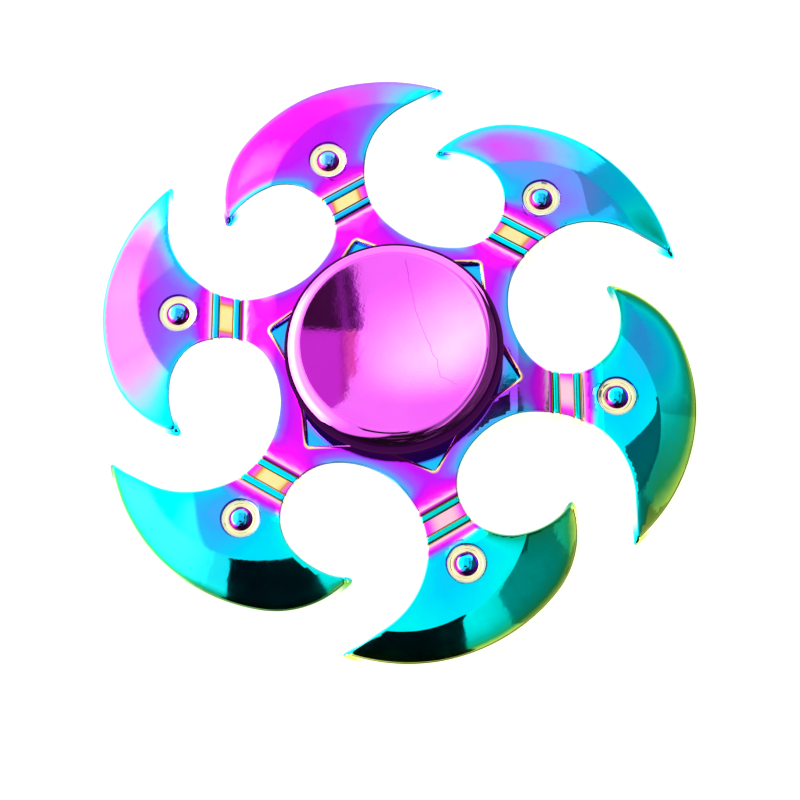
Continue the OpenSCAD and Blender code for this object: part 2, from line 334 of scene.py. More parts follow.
def neck_height(v):
    """Height of hub, neck and cheek along the neck, ribs included."""
    a = np.abs(v)
    across = np.clip(np.abs(a - RIB_OFF) / RIB_R, 0, 1)
    rib = RIB_TOP - (RIB_TOP - GROOVE_HALF) * across**RIB_POWER
    steps_z = [PANEL_HALF, PANEL_HALF, GROOVE_HALF, GROOVE_HALF, FOOT_HALF, FOOT_HALF]
    z = np.interp(a, [0, *STEP_LINES, FOOT_OFF], steps_z)
    z = np.where(a < RIB_OFF + RIB_R, np.where(a > RIB_OFF - RIB_R, np.maximum(z, rib), z), z)
    out = FOOT_HALF + smooth_floor(v - FOOT_OFF, FOOT_SOFT) * (CHEEK_HALF - FOOT_HALF) / BLADE_SLOPE
    out = np.minimum(out, CHEEK_HALF)
    inn = FOOT_HALF + smooth_floor(-v - FOOT_OFF, FOOT_SOFT) * (HUB_HALF - FOOT_HALF) / HUB_SLOPE
    inn = HUB_HALF - smooth_floor(HUB_HALF - inn, HUB_SOFT)
    return np.where(a < FOOT_OFF - FOOT_SOFT, z, np.where(v > 0, out, inn))


def star_gap(p):
    """Signed distance to the star's outline, positive outside the recess."""
    s1 = (p - STAR_TIP) @ STAR_OUT
    s2 = (p * np.array([-1, 1]) - STAR_TIP) @ STAR_OUT
    m1, m2 = s1 + STAR_ROUND, s2 + STAR_ROUND
    both = np.hypot(np.maximum(m1, 0), np.maximum(m2, 0)) - STAR_ROUND
    return np.where((m1 > 0) & (m2 > 0), both, np.maximum(s1, s2))


# The ring round the eye, from the pin outwards
EYE_RADII = [PIN_R, 1.45, 1.8, 1.86, 1.92, 2.12, 2.3, 2.37, 2.44, 2.5, 2.57]
EYE_HEIGHTS = [2.1, 2.19, 2.22, 2.195, 2.22, 2.23, 2.26, 2.34, 2.52, 2.59, CHEEK_HALF]
EYE_LIP, EYE_EDGE = EYE_RADII[-5], EYE_RADII[-1]


def height(p):
    """Height of the arm's upper face, from the boss to the tips."""
    y, rho = p[..., 1], crease_rho(p)
    z = neck_height(neck_v(p))
    bevel = CHEEK_HALF - math.tan(math.radians(BEVEL_SLOPE)) * smooth_floor(rho - CREASE_R, CREASE_SOFT)
    width = BEND_WIDTH * ease(-crease_phi(p), -BEND_FROM, -BEND_TO)
    bend = smooth_floor(width - np.maximum(CREASE_R - rho, 0), BEND_SOFT) * (width > 0.01)
    bevel = bevel - math.tan(math.radians(BEND_SLOPE)) * bend
    z = np.where(y > NECK_MID[1], np.minimum(z, bevel), z)
    z = np.where(y < HUB_END_Y, np.minimum(z, HUB_HALF), z)
    s = star_gap(p)
    lip = STAR_LIP - np.sqrt(np.clip(STAR_LIP**2 - (STAR_LIP - np.clip(s, 0, STAR_LIP)) ** 2, 0, None))
    wall = np.clip(-s / STAR_WALL, 0, 1)
    star = np.where(s > 0, HUB_HALF - lip, (HUB_HALF - STAR_LIP) * (1 - wall) + STAR_FLOOR * wall)
    z = np.where(y < STAR_END_Y, np.minimum(z, star), z)
    r = np.hypot(p[..., 0], y)
    boss = BOSS_HALF - np.clip(r - (BOSS_R - BOSS_CHAMFER), 0, BOSS_CHAMFER)
    boss = boss - np.clip(BORE_R + BORE_CHAMFER - r, 0, BORE_CHAMFER)
    z = np.where(r <= BOSS_R + HAIR / 2, boss, z)
    eye = np.hypot(p[..., 0], y - EYE_R)
    # The ring's outer lip follows the face it lies in
    rise = np.clip((eye - EYE_LIP) / (EYE_EDGE - EYE_LIP), 0, 1)
    ring_z = np.interp(eye, EYE_RADII, EYE_HEIGHTS) + (z - CHEEK_HALF) * rise
    return np.where(eye < EYE_EDGE, ring_z, z)


# ------------------------ mesh of one arm
def along(a, b, spacing):
    """Points from a to b, both included."""
    n = max(1, math.ceil(float(np.hypot(*(b - a))) / spacing))
    return a + (b - a) * spread(n + 1)[:, None]


def arc_points(c, r, a0, a1, spacing):
    """Points on a circle from one angle to another, both included."""
    n = max(2, math.ceil(abs(math.radians(a1 - a0)) * r / spacing))
    return on_circle(c, r, a0 + (a1 - a0) * spread(n + 1))


def star_line(s):
    """The star's outline moved outwards by s, from one side of the arm's hub to the other."""
    c = STAR_TIP - np.array([0, STAR_ROUND / STAR_OUT[1]])
    corner = c + (STAR_ROUND + s) * STAR_OUT
    a = angle_of(STAR_OUT, (0, 0))
    # The line starts on the boss, or on the ray between two arms if it crosses that first
    ray = polar(1, 90 - STEP / 2)
    side = (corner @ STAR_OUT) / float(ray @ STAR_OUT)
    start = side * ray
    edge = BOSS_R + HAIR
    if side < edge:
        b = float(corner @ STAR_ALONG)
        t = -b - math.sqrt(b * b - float(corner @ corner) + edge * edge)
        start = corner + t * STAR_ALONG
    half = along(start, corner, CURVE_SPACING)
    arc = arc_points(c, STAR_ROUND + s, a, 180 - a, 0.1)
    mirror = half[::-1] * np.array([-1, 1])
    return np.concatenate([half[:-1], arc, mirror[1:]])


STAR_OFFSETS = [-STAR_WALL - 0.25, -STAR_WALL, 0.0, 0.03, 0.12, 0.25, 0.38, STAR_LIP]


def matching(values, target):
    """Indices at which the value is the target."""
    return np.nonzero(np.abs(values - target) < 2e-3)[0]


def arm_top():
    """Plan points and triangles of the arm's upper face, cut out along the rounded top edge."""
    edge = ring(TOP_INSET)

    def across(r):
        """Points on a circle about the spin axis, from the arm's left border to its right one."""
        return arc_points((0, 0), r, 90 + STEP / 2, 90 - STEP / 2, CURVE_SPACING)

    boss_lines = [BOSS_R + HAIR, BOSS_R, BOSS_R - BOSS_CHAMFER, BORE_R + BORE_CHAMFER]
    radii = [float(np.hypot(*star_line(s)[0])) for s in STAR_OFFSETS]
    radii = [r for r in radii if r > BOSS_R + 2 * HAIR] + [*boss_lines, BORE_R]
    outer = float(np.hypot(*edge[0]))
    between = np.linspace(outer, BOSS_R, 9)[1:-1]
    radii += [r for r in between if min(abs(r - q) for q in [outer, *radii]) > 0.12]
    radii = sorted(set(radii), reverse=True)
    left, right = (np.array([r * polar(1, 90 + side * STEP / 2) for r in radii]) for side in (1, -1))
    loop = np.concatenate([edge, left, across(BORE_R)[1:-1], right[::-1]])

    lines = [across(r) for r in boss_lines] + [star_line(s) for s in STAR_OFFSETS]
    v, rho = neck_v(edge), crease_rho(edge)
    for value in NECK_LINES:
        hits = matching(v, value)
        r_side, l_side = hits[hits <= PART_ENDS[0]], hits[hits >= PART_ENDS[5]]
        if len(r_side) and len(l_side):
            lines.append(along(edge[r_side[-1]], edge[l_side[0]], LINE_SPACING))
    for value in CREASE_LINES:
        hits = [i for i in matching(rho, value) if edge[i][1] > NECK_MID[1]]
        r_side, l_side = [i for i in hits if edge[i][0] > 0], [i for i in hits if edge[i][0] < 0]
        if r_side and l_side:
            a0, a1 = angle_of(edge[r_side[-1]], CREASE_C), angle_of(edge[l_side[0]], CREASE_C)
            lines.append(arc_points(CREASE_C, value, a0, a1 % 360, CURVE_SPACING))
    lines += [arc_points(EYE_C, r, 0, 360, 0.2)[:-1] for r in EYE_RADII]

    points = [tuple(p) for p in loop]
    edges = [(i, (i + 1) % len(loop)) for i in range(len(loop))]
    known = {(round(x, 5), round(y, 5)): i for i, (x, y) in enumerate(points)}

    def index(p):
        key = (round(float(p[0]), 5), round(float(p[1]), 5))
        if key not in known:
            known[key] = len(points)
            points.append((float(p[0]), float(p[1])))
        return known[key]

    for line in lines:
        ids = [index(p) for p in line]
        closed = np.hypot(*(line[0] - line[-1])) < 0.3 and len(line) > 20
        edges += [e for e in zip(ids, ids[1:] + ids[:1] * closed) if e[0] != e[1]]

    tree = plan_tree(points)
    low, high = loop.min(0), loop.max(0)
    grid = np.array([
        (x, y)
        for j, y in enumerate(np.arange(low[1], high[1], SPACING * math.sqrt(3) / 2))
        for x in np.arange(low[0] + (j % 2) * SPACING / 2, high[0], SPACING)
        if tree.find((x, y, 0))[2] > SPACING * CLEARANCE
    ])
    points += [tuple(p) for p in grid[inside(grid, loop)]]
    out = delaunay_2d_cdt([Vector(p) for p in points], edges, [], 0, 1e-7)
    p = np.array([tuple(v) for v in out[0]])
    tri = np.array([list(f) for f in out[2]])
    middle = p[tri].mean(1)
    tri = tri[inside(middle, loop) & (np.hypot(*(middle - EYE_C).T) > PIN_R - 1e-4)]
    u, w = p[tri[:, 1]] - p[tri[:, 0]], p[tri[:, 2]] - p[tri[:, 0]]
    downwards = u[:, 0] * w[:, 1] < u[:, 1] * w[:, 0]
    tri[downwards] = tri[downwards][:, ::-1]
    used, tri = np.unique(tri, return_inverse=True)
    return p[used], tri.reshape(-1, 3)


def inside(q, loop):
    """Which of the points q lie inside a closed loop."""
    a, b = loop, np.roll(loop, -1, axis=0)
    out = np.zeros(len(q), bool)
    for (x0, y0), (x1, y1) in zip(a, b):
        if y0 == y1:
            continue
        hit = (q[:, 1] > min(y0, y1)) & (q[:, 1] <= max(y0, y1))
        x = x0 + (q[:, 1] - y0) * (x1 - x0) / (y1 - y0)
        out ^= hit & (x > q[:, 0])
    return out


def plan_tree(points):
    """A search tree of points in plan."""
    tree = KDTree(len(points))
    for i, q in enumerate(points):
        tree.insert((q[0], q[1], 0), i)
    tree.balance()
    return tree


def closest(points, targets):
    """For each target, the distance to the closest of the points, and that point's index."""
    tree = plan_tree(points)
    found = [tree.find((t[0], t[1], 0)) for t in targets]
    return np.array([f[2] for f in found]), np.array([f[1] for f in found])


def loop_of(q, radius):
    """Indices of the points at this distance from the origin, in order of their angle."""
    ids = np.argsort(np.arctan2(q[:, 1], q[:, 0]))
    return ids[np.abs(np.hypot(q[ids, 0], q[ids, 1]) - radius) < 1e-4]


def arm_mesh():
    """One arm with both faces and its walls: points, faces, and how far each point is wall."""
    p, tri = arm_top()
    top = np.column_stack([p, height(p)])
    edge = ring(TOP_INSET)
    h = height(edge)
    layers = []
    for i in range(ROUND_RINGS):
        a = math.radians(90 * (ROUND_RINGS - 1 - i) / ROUND_RINGS)
        d = BULGE + EDGE_ROUND * (1 - math.cos(a))
        layers.append((d, h - EDGE_ROUND * (1 - math.sin(a)), 1 - math.sin(a)))
    for i in range(WALL_RINGS):
        q = (WALL_RINGS - 1 - i) / WALL_RINGS
        layers.append((BULGE * q**1.5, (h - EDGE_ROUND) * q, 1.0))
    points = [top]
    on_wall = [np.zeros(len(top))]
    rows = [closest(p, edge)[1]]
    count = len(top)
    for d, z, share in layers:
        points.append(np.column_stack([ring(d), z]))
        on_wall.append(np.full(len(edge), share))
        rows.append(np.arange(count, count + len(edge)))
        count += len(edge)
    upper = np.concatenate(points)
    steps = zip(rows[:-1], rows[1:])
    quads = np.concatenate([np.stack([a[:-1], b[:-1], b[1:], a[1:]], -1) for a, b in steps])
    # The lower half is the upper one mirrored; both share the parting line
    lower_id = np.arange(count) + count
    lower_id[rows[-1]] = rows[-1]
    lower = upper * np.array([1, 1, -1])
    tri_low = lower_id[tri][:, ::-1]
    quads_low = lower_id[quads][:, ::-1]
    # Inside walls: the bore of the hub and the hole of the eye pin
    hole = loop_of(p - EYE_C, PIN_R)
    groups = [tri, tri_low, quads, quads_low]
    for ids in (loop_of(p, BORE_R), np.append(hole, hole[0])):
        groups.append(np.stack([ids[:-1], ids[1:], lower_id[ids[1:]], lower_id[ids[:-1]]], -1))
    faces = [list(map(int, f)) for group in groups for f in group]
    return np.concatenate([upper, lower]), faces, np.concatenate(on_wall * 2)


# ------------------------ colour of the plating, and its painted highlight and shade
# The film's thickness sets its colour: 0 cream, 0.1 gold, 0.3 magenta, 0.45 violet, 0.6 azure,
# 0.7 cyan, 0.8 teal, 0.9 yellow-green, 1 rose. Each blade took its own thickness in the bath.
# Along the bevel, from the long tip to the short tip, at these shares of the way, which is
# measured by the angle about the crease's centre:
BEVEL_SPAN = (48, 160)
BEVEL_AT = [0.0, 0.06, 0.15, 0.3, 0.5, 0.7, 0.85, 0.95, 1.0]
BEVEL_FILM = [
    [0.90, 0.72, 0.56, 0.43, 0.36, 0.31, 0.285, 0.285, 0.33],
    [0.98, 0.88, 0.80, 0.68, 0.60, 0.46, 0.42, 0.46, 0.60],
    [0.98, 0.90, 0.84, 0.80, 0.75, 0.62, 0.59, 0.62, 0.76],
    [0.90, 0.84, 0.78, 0.74, 0.74, 0.77, 0.79, 0.82, 0.86],
    [0.78, 0.74, 0.72, 0.71, 0.71, 0.70, 0.71, 0.74, 0.80],
    [0.76, 0.66, 0.52, 0.37, 0.33, 0.36, 0.50, 0.64, 0.70],
]
# Painted sheen (pale, above 0) and painted dark reflection (below 0) on the bevel along the same way
BEVEL_SHEEN_AND_SHADE = [
    [0, 0, 0, 0, 0, 0, 0.02, 0.04, 0],
    [0] * 9,
    [-0.1, -0.3, -0.4, -0.4, -0.2, 0, 0, 0, 0],
    [0] * 9,
    [0.03, 0.03, 0.03, 0.02, 0.02, 0, 0, 0, 0],
    [0, 0, 0.05, 0.08, 0.14, 0.14, 0.06, 0, 0],
]
# On the cheek: towards the long tip, at the eye, towards the short tip
CHEEK_FILM = [
    [0.46, 0.40, 0.42],
    [0.60, 0.50, 0.62],
    [0.69, 0.67, 0.68],
    [0.73, 0.66, 0.69],
    [0.69, 0.59, 0.68],
    [0.50, 0.45, 0.48],
]
# What the rims tend to: the outer sweep, the bay beside the long tip, under the short tip
RIM_FILM = [
    [0.46, 0.67, 0.66],
    [0.70, 0.68, 0.70],
    [0.92, 0.72, 0.78],
    [0.93, 0.71, 0.84],
    [0.88, 0.69, 0.74],
    [0.64, 0.68, 0.68],
]
RIM_WIDTH = [0.8, 0.9, 1.5, 0.8, 0.5, 0.3]
# Hub: the plate beside each arm, and the rims of its bays
HUB_FILM = [0.31, 0.34, 0.40, 0.37, 0.33, 0.31]
HUB_RIM = [0.50, 0.62, 0.68, 0.70, 0.60, 0.50]
# Panel between the ribs, at its middle
PANEL_FILM = [0.06, 0.07, 0.25, 0.24, 0.06, 0.06]
# Painted highlight that pales the panel towards its middle
PANEL_HIGHLIGHT = [0.3, 0.35, 0.6, 0.55, 0.3, 0.3]
RIB_FILM = [0.64, 0.71, 0.75, 0.76, 0.70, 0.64]


def around(values, k, angle):
    """A hub value of arm k, running into its neighbours' at the borders of its sector."""
    other = np.where(angle > 0, values[(k - 1) % BLADES], values[(k + 1) % BLADES])
    return mix(values[k], other, 0.5 * ease(np.abs(angle), 4, STEP / 2))


# Where across the blade the cheek's values hold, from the short tip's side to the long tip's
CHEEK_AT, CHEEK_USE = [-3.5, 0, 3.5, 10], (2, 1, 1, 0)
# How much of the bevel's film shows on the cheek, and how far from the crease
CHEEK_BLEND, CHEEK_BLEND_WIDTH = 0.45, 4.5
# Rims off the outer sweep, and how strongly the rims take their film on the sweep and off it
INNER_RIM_WIDTH, RIM_SHARES = 0.75, (0.9, 0.95)
# The neck's magenta, the gutters beside its ribs, and how far out its panel goes
NECK_PINK, NECK_SLOPE, GUTTER_FILM, PANEL_REACH = 0.31, 0.30, 0.12, 2.6
HUB_RIM_GAP, HUB_RIM_WIDTH = 0.3, 1.1
STAR_FILM, STAR_TIP_FILM, STAR_TIP_FROM, STAR_TIP_TO = 0.44, 0.63, 12.5, 15.0
LIP_FILM, EYE_RING_FILM, EYE_RING_R = 0.07, 0.94, 2.2
# Painted highlight (towards 1, pale) or painted shade (towards -1, dark) laid on the film there
LIP_HIGHLIGHT, WALL_FLOOR_REFLECTION = 0.45, 0.9
# Across the star's lip: where it takes its cream film and its painted highlight
LIP_AT, LIP_TONE = [-0.02, 0.03, 0.38, STAR_LIP], [0, 1, 0.8, 0]
# Across the feet of the neck's slopes, on the blade's side and the hub's: painted shade in the groove beside
# the rib, then a painted highlight on the edge beyond it
FOOT_AT, FOOT_SHADE_AND_HIGHLIGHT = [1.70, 1.77, 1.83, 1.87, 2.1, 2.35], [0, -0.6, -0.6, 0.7, 0.6, 0]
HUB_FOOT_AT, HUB_FOOT_SHADE_AND_HIGHLIGHT = [1.68, 1.75, 2.0, 2.15, 2.3, 2.75], [0, -0.95, -0.8, 0.1, 0.7, 0]
# Across the eye's ring: painted highlight on its floor, painted shade at its outer lip
EYE_TONE_AT = [1.4, 1.45, 1.8, 1.86, 1.92, 2.2, 2.3, 2.37, 2.44, 2.5, 2.57]
EYE_SHADE_AND_HIGHLIGHT = [0.3, 0.7, 0.7, 0.1, 0.6, 0.6, 0.7, 0.3, -0.45, -0.15, 0]
# How far the magenta of a neck reaches up its blade
SLOPE_FILM = [2.4, 2.4, 1.8, 1.7, 2.2, 2.4]
# Walls closer to a tip than the first keep their colour, and beyond the second they carry the painted pale
# reflection of the floor
TIP_NEAR, TIP_FAR = 1.6, 3.2
# Stations of the outline, in the middle of the rounded tips, between which the outer sweep lies
PART_SWEEP = (int(PART_ENDS[2]) - 4, int(PART_ENDS[5]) - 4)


def film_of(k, p, gap, part, on_wall):
    """Film thickness, and its painted highlight or shade (how pale or dark it is), at the points p of arm k (0
    to 5).
    """
    x, y, z = p[:, 0], p[:, 1], np.abs(p[:, 2])
    v = neck_v(p[:, :2])
    rho = crease_rho(p)
    share = np.clip((crease_phi(p) - BEVEL_SPAN[0]) / (BEVEL_SPAN[1] - BEVEL_SPAN[0]), 0, 1)
    bevel = np.interp(share, BEVEL_AT, BEVEL_FILM[k])
    cheek = np.interp(x, CHEEK_AT, [CHEEK_FILM[k][i] for i in CHEEK_USE])
    over = ease(rho, CREASE_R - 0.2, CREASE_R + 0.2)
    near = CHEEK_BLEND * ease(rho, CREASE_R - CHEEK_BLEND_WIDTH, CREASE_R)
    blade = mix(cheek, bevel, np.maximum(near, over))
    # Rims, by the part of the outline that is nearest
    outer = (part > PART_SWEEP[0]) & (part < PART_SWEEP[1])
    beside = part <= PART_SWEEP[0]
    rim = np.where(outer, RIM_FILM[k][0], np.where(beside, RIM_FILM[k][1], RIM_FILM[k][2]))
    width = np.where(outer, RIM_WIDTH[k], INNER_RIM_WIDTH)
    strength = np.exp(-np.clip(gap - TOP_INSET, 0, None) / width)
    blade = mix(blade, rim, strength * np.where(outer, *RIM_SHARES))
    # Neck: magenta slopes, ribs of the blade's own colour, gold panel with magenta ends
    a = np.abs(v)
    side = np.abs(np.clip((x - NECK_MID[0]) / PANEL_REACH, -1, 1))
    panel = mix(PANEL_FILM[k], NECK_PINK, ease(side, 0.45, 1.0))
    neck = np.where(a < GROOVE_IN, panel, GUTTER_FILM)
    on_rib = (np.abs(a - RIB_OFF) < RIB_R) & (z > GROOVE_HALF + 0.06)
    neck = np.where(on_rib, RIB_FILM[k], neck)
    neck = np.where(a > GROOVE_OUT, NECK_SLOPE, neck)
    angle = np.degrees(np.arctan2(y, x)) - 90
    hub_film, hub_rim = around(HUB_FILM, k, angle), around(HUB_RIM, k, angle)
    hub = mix(hub_film, hub_rim, np.exp(-np.clip(gap - HUB_RIM_GAP, 0, None) / HUB_RIM_WIDTH))
    s = star_gap(p[:, :2])
    in_star = mix(STAR_FILM, STAR_TIP_FILM, ease(y, STAR_TIP_FROM, STAR_TIP_TO))
    hub = np.where(s < -STAR_WALL * 0.7, in_star, hub)
    to_hub = ease(-v, FOOT_OFF + 0.6, FOOT_OFF + 3.0)
    to_blade = ease(v, FOOT_OFF + 0.1, FOOT_OFF + SLOPE_FILM[k])
    film = np.where(v < 0, mix(neck, hub, to_hub), mix(neck, blade, to_blade))
    # Painted highlight and shade lines, pale and dark: feet of the neck's slopes, lips of the star, the ring
    # of the eye
    foot = np.where(v > 0, np.interp(v, FOOT_AT, FOOT_SHADE_AND_HIGHLIGHT), np.interp(-v, HUB_FOOT_AT, HUB_FOOT_SHADE_AND_HIGHLIGHT))
    lip = np.interp(s, LIP_AT, LIP_TONE) * (v < 0)
    film = mix(film, LIP_FILM, ease(lip, 0.3, 0.9))
    # The star's lips get a painted highlight; elsewhere the feet keep their painted shade and highlight
    tone = np.where(lip > 0, LIP_HIGHLIGHT * lip, foot)
    # Painted highlight on the panel between the ribs, fading towards its ends
    tone = np.where(a < GROOVE_IN, PANEL_HIGHLIGHT[k] * (1 - ease(side, 0.3, 0.9)), tone)
    # Painted sheen and dark reflection on the bevel, away from its rims
    sheen = np.interp(share, BEVEL_AT, BEVEL_SHEEN_AND_SHADE[k]) * over * (1 - strength) * (v > 0)
    tone = np.where(v > FOOT_OFF + 1, sheen, tone)
    e = np.hypot(x, y - EYE_R)
    # Painted highlight and shade on the eye's ring
    tone = np.where(e < EYE_EDGE - 0.01, np.interp(e, EYE_TONE_AT, EYE_SHADE_AND_HIGHLIGHT), tone)
    film = np.where(e < EYE_RING_R, EYE_RING_FILM, film)
    # Walls carry a painted pale reflection of the white floor, but the tips keep their colour to the end
    from_tip = np.minimum(*(np.hypot(x - c[0], y - c[1]) for c in (long_corner(0), short_corner(0))))
    return film, mix(tone, WALL_FLOOR_REFLECTION, on_wall * ease(from_tip, TIP_NEAR, TIP_FAR))


# ------------------------ materials
def linear(rgb):
    """An sRGB colour, 0 to 255, as a linear RGBA value."""
    c = np.array(rgb) / 255
    lin = np.where(c <= 0.04045, c / 12.92, ((c + 0.055) / 1.055) ** 2.4)
    return (*map(float, lin), 1.0)


class Tree:
    """The node tree of a material or world."""

    def __init__(self, owner):
        owner.use_nodes = True
        self.nodes, self.links = owner.node_tree.nodes, owner.node_tree.links
        self.nodes.clear()

    def feed(self, socket, value):
        """Gives a socket its value, or the output of another node."""
        if isinstance(value, bpy.types.NodeSocket):
            self.links.new(value, socket)
        elif value is not None:
            socket.default_value = value

    def new(self, kind, inputs=(), **settings):
        """A new node, with its settings and then its inputs, by name or in order."""
        node = self.nodes.new("ShaderNode" + kind)
        for key, value in settings.items():
            setattr(node, key, value)
        for key, value in inputs.items() if isinstance(inputs, dict) else enumerate(inputs):
            self.feed(node.inputs[key], value)
        return node

    def calc(self, operation, a, b=0.0):
        return self.new("Math", (a, b), operation=operation).outputs[0]

    def vector(self, operation, a, b):
        return self.new("VectorMath", (a, b), operation=operation).outputs

    def blend(self, amount, a, b):
        """Colour a, going over to b with the amount."""
        inputs = {"Factor": amount, "A": a, "B": b}
        return self.new("Mix", inputs, data_type="RGBA").outputs["Result"]

    def noise(self, scale, detail=4, rough=0.55, stretch=None, source=None):
        """Noise in object space, in features per metre."""
        if source is None:
            source = self.new("TexCoord").outputs["Object"]
        if stretch:
            source = self.new("Mapping", {"Vector": source, "Scale": stretch}).outputs["Vector"]
        inputs = {"Vector": source, "Scale": scale, "Detail": detail, "Roughness": rough}
        return self.new("TexNoise", inputs).outputs["Fac"]

    def remap(self, value, low, high, from_low=0.3, from_high=0.7, **settings):
        """The value, taken from one range to another."""
        inputs = {"Value": value, "To Min": low, "To Max": high}
        inputs |= {"From Min": from_low, "From Max": from_high}
        return self.new("MapRange", inputs, **settings).outputs["Result"]


def metal(name, make_colour, rough, grain, layers):
    """A metal: its colour, the range of its roughness, the noise that drives that, and its bumps.

    The bumps are (noise, strength, depth in millimetres), one over the other.
    """
    m = bpy.data.materials.new(name)
    tree = Tree(m)
    inputs = {"Base Color": make_colour(tree), "Metallic": 1.0}
    inputs["Roughness"] = tree.remap(tree.noise(*grain), *rough)
    normal = None
    for bump_noise, strength, depth in layers:
        bump = {"Height": tree.noise(*bump_noise), "Strength": strength}
        bump |= {"Distance": depth * MM, "Normal": normal}
        normal = tree.new("Bump", bump).outputs["Normal"]
    shader = tree.new("BsdfPrincipled", {**inputs, "Normal": normal})
    tree.new("OutputMaterial", {"Surface": shader.outputs["BSDF"]})
    return m


FILM_STOPS = [
    (0.00, (255, 250, 205)),
    (0.06, (252, 238, 130)),
    (0.11, (250, 200, 80)),
    (0.16, (225, 120, 70)),
    (0.21, (250, 110, 190)),
    (0.26, (255, 95, 245)),
    (0.32, (250, 20, 248)),
    (0.39, (198, 30, 255)),
    (0.46, (152, 92, 255)),
    (0.53, (116, 150, 255)),
    (0.60, (45, 178, 253)),
    (0.67, (0, 214, 254)),
    (0.73, (0, 246, 246)),
    (0.79, (0, 190, 165)),
    (0.85, (30, 165, 95)),
    (0.90, (165, 215, 80)),
    (0.95, (248, 232, 130)),
    (1.00, (255, 190, 205)),
]


# Colours of the painted highlight and the painted shade laid over the film
HIGHLIGHT_RGB = (255, 249, 222)
SHADE_RGB = (22, 4, 10)
# The film wanders with these noises, in features per metre, by these shares of its drift
DRIFT = ((110, 1.0), (900, 0.5))


def film_material(name, drift, rough, peel):
    """Mirror plating whose colour follows the points' film, with a painted highlight (pale) or painted shade
    (dark) laid over it where the points say.
    """

    def colour(tree):
        total, tone = (
            tree.new("Attribute", attribute_name=key).outputs["Fac"] for key in ("film", "tone")
        )
        for scale, share in DRIFT:
            wander = tree.remap(tree.noise(scale, 3), -drift * share, drift * share)
            total = tree.calc("ADD", total, wander)
        ramp = tree.new("ValToRGB", {"Fac": total})
        elements = ramp.color_ramp.elements
        elements.remove(elements[-1])
        elements[0].position, elements[0].color = FILM_STOPS[0][0], linear(FILM_STOPS[0][1])
        for at, rgb in FILM_STOPS[1:]:
            elements.new(at).color = linear(rgb)
        # Positive values mix in the painted highlight, negative ones the painted shade
        paler = tree.blend(tree.remap(tone, 0, 1, 0, 1), ramp.outputs["Color"], linear(HIGHLIGHT_RGB))
        return tree.blend(tree.remap(tone, 1, 0, -1, 0), paler, linear(SHADE_RGB))

    layers = [((420, 2), peel, 0.05), ((2600, 3), peel, 0.012)]
    return metal(name, colour, rough, (260, 5, 0.6), layers)


# A fine dark line across the upper cap's dish, in millimetres from point to point
HAIRLINE = [(4.76, 9.58), (3.96, 4.08), (3.95, -0.02), (4.34, -4.13), (4.11, -6.04), (5.58, -7.74)]
HAIRLINE_RGB = (196, 50, 214)
HAIRLINE_HALF, HAIRLINE_CORE, HAIRLINE_SHARE = 0.085, 0.4, 0.6
FRAY_SCALE, FRAY = 900, 0.6


def hairline(tree, stops):
    """How strong a thin, slightly frayed line on the upper side is, and 0 away from it."""
    place = tree.new("TexCoord").outputs["Object"]
    fray = tree.new("TexNoise", {"Scale": FRAY_SCALE, "Vector": place}).outputs["Color"]
    shift = tree.vector("SUBTRACT", fray, (0.5, 0.5, 0.5))["Vector"]
    scaled = tree.vector("MULTIPLY", shift, (FRAY * MM, FRAY * MM, 0))["Vector"]
    flat = tree.vector("MULTIPLY", tree.vector("ADD", place, scaled)["Vector"], (1, 1, 0))["Vector"]
    least = None
    for a, b in zip(stops[:-1], stops[1:]):
        start, run = Vector((*a, 0)) * MM, Vector((b[0] - a[0], b[1] - a[1], 0)) * MM
        off = tree.vector("SUBTRACT", flat, tuple(start))["Vector"]
        share = tree.vector("DOT_PRODUCT", off, tuple(run / run.length_squared))["Value"]
        held = tree.new("Clamp", {"Value": share}).outputs[0]
        thrice = tree.new("CombineXYZ", (held,) * 3).outputs[0]
        foot = tree.vector("MULTIPLY", thrice, tuple(run))["Vector"]
        far = tree.vector("DISTANCE", off, foot)["Value"]
        least = far if least is None else tree.calc("MINIMUM", far, least)
    line = tree.remap(least, HAIRLINE_SHARE, 0, HAIRLINE_HALF * HAIRLINE_CORE * MM, HAIRLINE_HALF * MM)
    upper = tree.remap(tree.new("SeparateXYZ", (place,)).outputs["Z"], 0, 1, 0, MM)
    return tree.calc("MULTIPLY", line, upper)


def plated(name, rgb, rough, peel):
    """Mirror plating of one hue, with a little drift of colour and a fine line on it."""

    def colour(tree):
        base = tree.blend(tree.remap(tree.noise(90, 3), 0.0, 1.0), *map(linear, rgb))
        return tree.blend(hairline(tree, HAIRLINE), base, linear(HAIRLINE_RGB))

    layers = [((380, 2), peel[0], 0.05), ((2400, 3), peel[1], 0.01)]
    return metal(name, colour, rough, (300, 5), layers)


def steel(name, rgb, rough, brushed=(1, 1, 1)):
    """Plain steel, its grain drawn out along one axis where it is brushed."""
    grain = (500, 6, 0.6, brushed)

    def colour(tree):
        shade = linear([0.82 * c for c in rgb])
        return tree.blend(tree.remap(tree.noise(*grain), 0.0, 1.0), linear(rgb), shade)

    return metal(name, colour, rough, grain, [(grain, 0.15, 0.01)])


MATERIALS = {
    "plated_frame": film_material("plated_frame", 0.008, (0.03, 0.08), 0.1),
    "plated_cap": plated("plated_cap", [(253, 114, 255), (247, 98, 251)], (0.02, 0.045), (0.04, 0.09)),
    "eye_mirror": film_material("eye_mirror", 0.02, (0.03, 0.06), 0.05),
    "bearing_steel": steel("bearing_steel", (205, 206, 210), (0.14, 0.28), (1, 1, 6)),
    "ball_steel": steel("ball_steel", (225, 226, 230), (0.04, 0.09)),
    "cage_steel": steel("cage_steel", (176, 170, 158), (0.25, 0.4)),
    "shield_steel": steel("shield_steel", (196, 198, 202), (0.18, 0.32), (1, 1, 4)),
    "spring_steel": steel("spring_steel", (150, 152, 158), (0.22, 0.35)),
}


